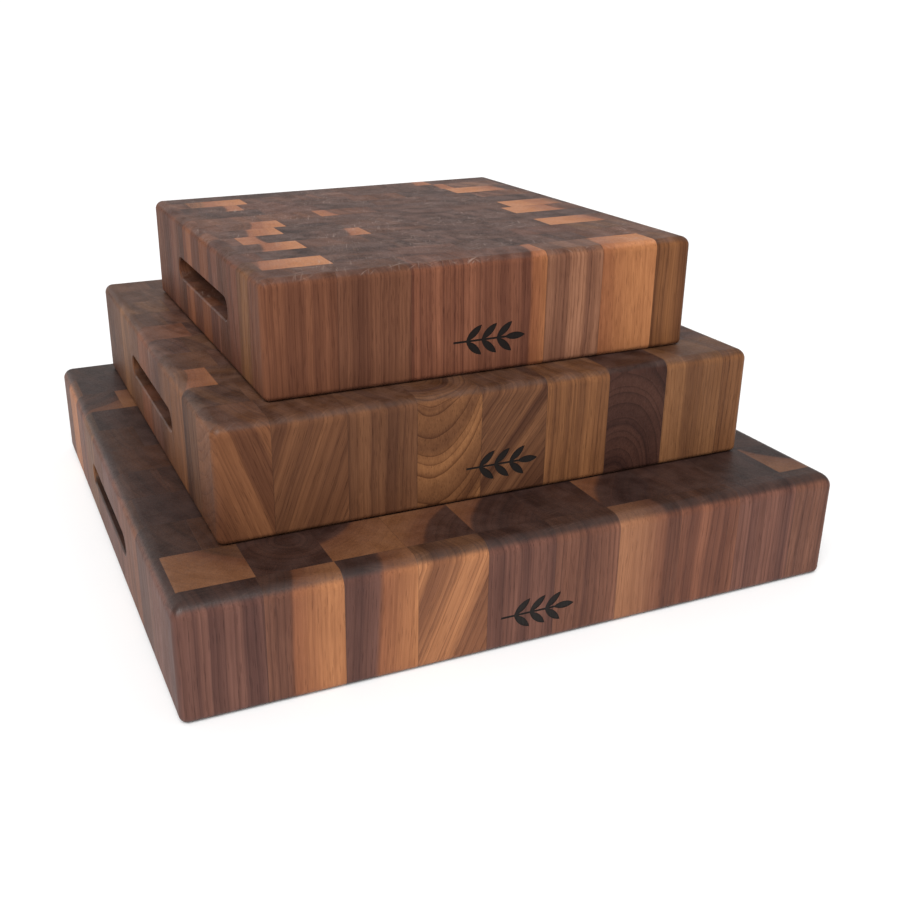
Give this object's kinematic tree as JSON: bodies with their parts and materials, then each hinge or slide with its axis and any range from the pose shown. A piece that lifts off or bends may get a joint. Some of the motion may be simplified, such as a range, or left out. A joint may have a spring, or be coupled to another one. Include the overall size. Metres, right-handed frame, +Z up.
{
  "type": "cutting board",
  "caption": "Thick square end-grain walnut cutting boards with hand grips in two sides, stacked large to small; each one lifts off the board below.",
  "frame": {"origin": "middle of the large board's underside, where the stack stands", "axes": "+Z up through the stack; the front faces with the burned sprig look along -Y; the hand grips open along -X and +X"},
  "size_m": [0.4572, 0.4572, 0.2286],
  "materials": {
    "walnut_large": "oiled end-grain walnut, purplish brown with orange sapwood streaks, satin",
    "walnut_medium": "oiled end-grain walnut, tan brown, satin",
    "walnut_small": "oiled end-grain walnut, reddish brown with light blocks at two sides, satin"
  },
  "bodies": {
    "large_board": {"large_row_01": "walnut_large", "large_row_02": "walnut_large", "large_row_03": "walnut_large", "large_row_04": "walnut_large", "large_row_05": "walnut_large", "large_row_06": "walnut_large", "large_row_07": "walnut_large", "large_row_08": "walnut_large", "large_row_09": "walnut_large", "large_row_10": "walnut_large", "large_row_11": "walnut_large"},
    "medium_board": {"medium_row_01": "walnut_medium", "medium_row_02": "walnut_medium", "medium_row_03": "walnut_medium", "medium_row_04": "walnut_medium", "medium_row_05": "walnut_medium", "medium_row_06": "walnut_medium", "medium_row_07": "walnut_medium", "medium_row_08": "walnut_medium", "medium_row_09": "walnut_medium", "medium_row_10": "walnut_medium"},
    "small_board": {"small_row_01": "walnut_small", "small_row_02": "walnut_small", "small_row_03": "walnut_small", "small_row_04": "walnut_small", "small_row_05": "walnut_small", "small_row_06": "walnut_small", "small_row_07": "walnut_small", "small_row_08": "walnut_small", "small_row_09": "walnut_small", "small_row_10": "walnut_small", "small_row_11": "walnut_small", "small_row_12": "walnut_small"}
  },
  "joints": [
    {"name": "medium_lift", "type": "slide", "parent": "large_board", "child": "medium_board", "axis": [0, 0, 1], "range_m": [0, 0.15]},
    {"name": "small_lift", "type": "slide", "parent": "medium_board", "child": "small_board", "axis": [0, 0, 1], "range_m": [0, 0.15]}
  ]
}
